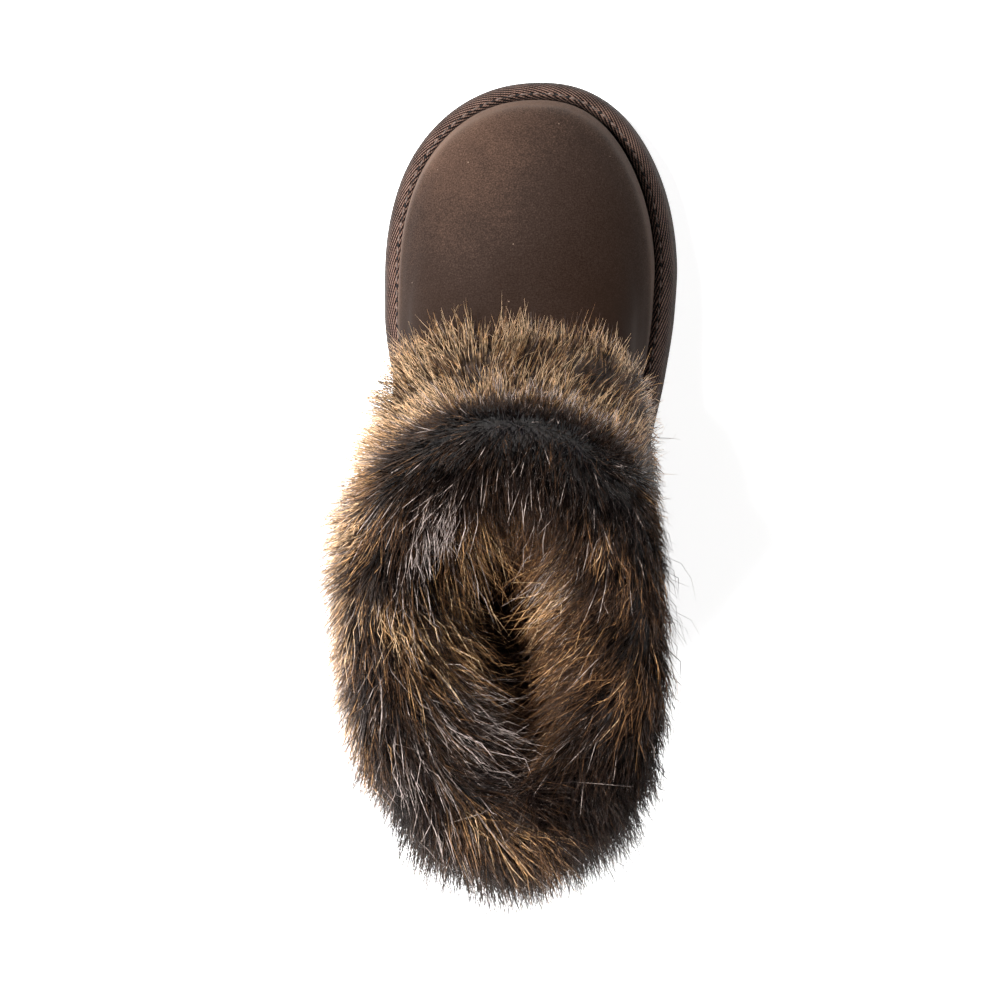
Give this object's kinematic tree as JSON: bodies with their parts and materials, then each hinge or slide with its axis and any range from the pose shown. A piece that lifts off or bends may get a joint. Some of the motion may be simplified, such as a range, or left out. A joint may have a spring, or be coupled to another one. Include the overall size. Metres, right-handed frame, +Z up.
{
  "type": "fur-cuffed leather boot",
  "caption": "Low pull-on leather boot for the left foot with a twill-bound edge, moulded sole and a deep long-pile fur cuff.",
  "frame": {"origin": "on the floor, under the middle of the boot's box", "axes": "+Z up, toe towards -Y, outer side of the left foot towards +X"},
  "size_m": [0.1092, 0.2724, 0.1551],
  "materials": {
    "outsole": "matt moulded rubber, dark brown",
    "tape": "dark brown twill binding tape, sewn along its inner edge",
    "leather": "matt waxed brown leather with a fine grain and cloudy wear",
    "fur": "long-pile fur, near black with golden tan fringe and pale tips",
    "fleece": "short brown fleece"
  },
  "bodies": {
    "root": {"outsole": "outsole", "edge_tape": "tape", "upper": "leather", "fur_cuff": "fur", "insole": "fleece"}
  },
  "joints": []
}
